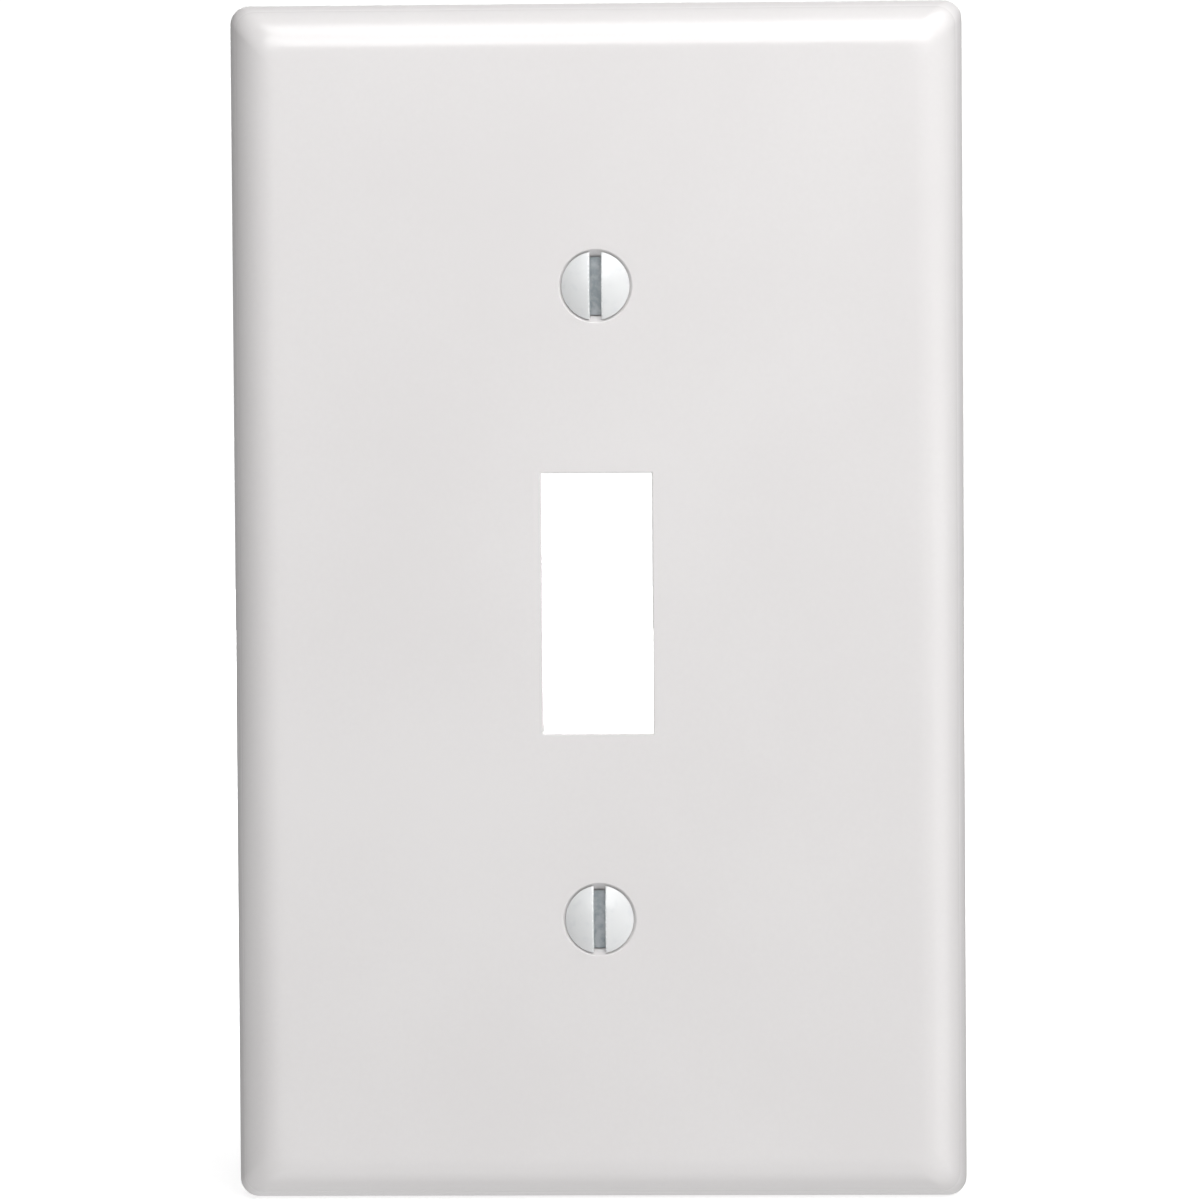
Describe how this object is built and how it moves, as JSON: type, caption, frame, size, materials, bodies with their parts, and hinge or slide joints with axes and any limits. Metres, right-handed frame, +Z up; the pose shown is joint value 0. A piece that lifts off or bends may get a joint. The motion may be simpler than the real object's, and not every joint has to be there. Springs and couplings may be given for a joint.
{
  "type": "wall plate cover",
  "caption": "Upright rectangular switch cover plate with softly rounded edges, an upright toggle opening at its centre, and slotted oval-head screws countersunk above and below it.",
  "frame": {"origin": "centre of the toggle opening, in the wall plane that the plate's rim rests on", "axes": "+Z up along the plate's height, +X along its width, +Y from the front towards the wall; the front faces -Y"},
  "size_m": [0.0698, 0.0137, 0.1142],
  "materials": {
    "moulded_plastic": "smooth white thermoset moulding with a soft gloss",
    "screw_paint": "steel with a glossy white paint, bare at the thread"
  },
  "bodies": {
    "plate": {"cover_plate": "moulded_plastic"},
    "upper_screw": {"upper_screw": "screw_paint"},
    "lower_screw": {"lower_screw": "screw_paint"}
  },
  "joints": [
    {"name": "upper_screw_turn", "type": "hinge", "parent": "plate", "child": "upper_screw", "pos_m": [0, -0.0056, 0.03016], "axis": [0, -1, 0], "continuous": true},
    {"name": "lower_screw_turn", "type": "hinge", "parent": "plate", "child": "lower_screw", "pos_m": [0, -0.0056, -0.03016], "axis": [0, -1, 0], "continuous": true}
  ]
}
